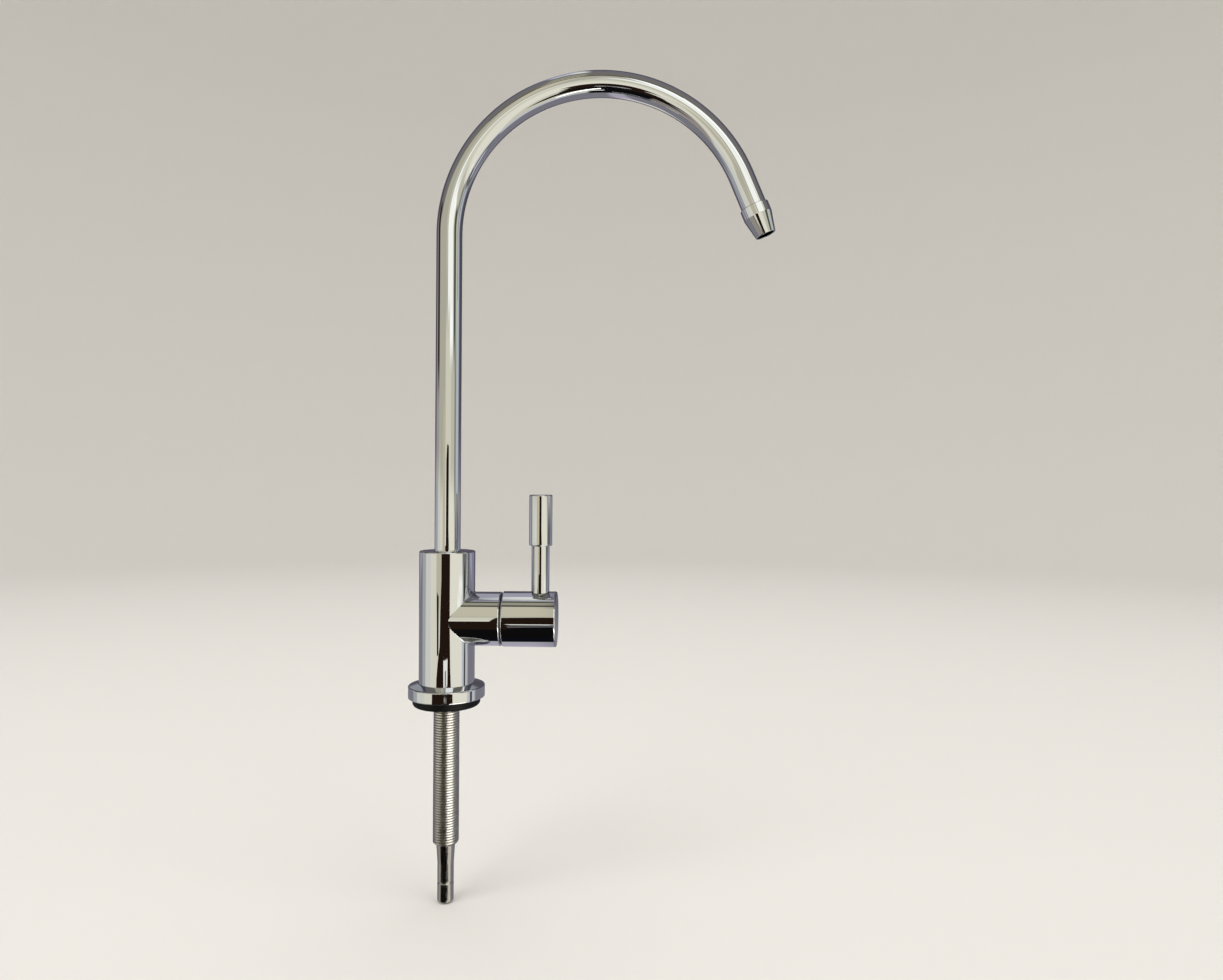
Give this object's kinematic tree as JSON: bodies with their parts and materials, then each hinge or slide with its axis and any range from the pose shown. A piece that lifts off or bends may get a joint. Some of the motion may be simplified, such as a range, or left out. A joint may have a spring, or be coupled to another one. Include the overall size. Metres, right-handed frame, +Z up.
{
  "type": "drinking water faucet",
  "caption": "Deck-mounted drinking water faucet: a swivelling gooseneck tube with a conical tip on an upright body, and a side handle whose lever works a quarter-turn valve.",
  "frame": {"origin": "on the riser's axis, in the deck plane under the rubber gasket", "axes": "+Z up along the riser, +X along the side arm and towards the spout's outlet, the viewer of the picture on the -Y side"},
  "size_m": [0.1418, 0.0296, 0.3234],
  "materials": {
    "chrome_plated_brass": "mirror-bright chromium plate on brass",
    "nickel_plated_brass": "bright nickel plate on a turned brass thread and stem",
    "plain_brass": "turned",
    "spring_steel": "stamped and tumbled",
    "alumina_ceramic": "lapped",
    "nitrile_rubber": "moulded, matt",
    "black_nylon": "moulded"
  },
  "bodies": {
    "fixed": {"body": "chrome_plated_brass", "base_ring": "chrome_plated_brass", "base_gasket": "nitrile_rubber", "shank": "nickel_plated_brass", "shank_seal": "nitrile_rubber", "spout_thrust_washer": "black_nylon", "seat_seal": "nitrile_rubber", "fixed_disc": "alumina_ceramic", "cartridge_housing": "plain_brass", "housing_seal": "nitrile_rubber", "friction_washer": "black_nylon", "handle_glide_ring": "black_nylon"},
    "spout": {"spout_tube": "chrome_plated_brass", "spout_tip": "chrome_plated_brass", "spout_ferrule": "plain_brass", "spout_seal_lower": "nitrile_rubber", "spout_seal_upper": "nitrile_rubber", "spout_clip": "spring_steel"},
    "handle": {"handle_barrel": "chrome_plated_brass", "lever": "chrome_plated_brass", "spindle": "plain_brass", "moving_disc": "alumina_ceramic", "spindle_seal_inner": "nitrile_rubber", "spindle_seal_outer": "nitrile_rubber", "spindle_circlip": "spring_steel"}
  },
  "joints": [
    {"name": "spout_swivel", "type": "hinge", "parent": "fixed", "child": "spout", "pos_m": [0, 0, 0.06], "axis": [0, 0, 1], "continuous": true},
    {"name": "handle_turn", "type": "hinge", "parent": "fixed", "child": "handle", "pos_m": [0.03235, 0, 0.0335], "axis": [1, 0, 0], "range_deg": [0, 90]}
  ]
}
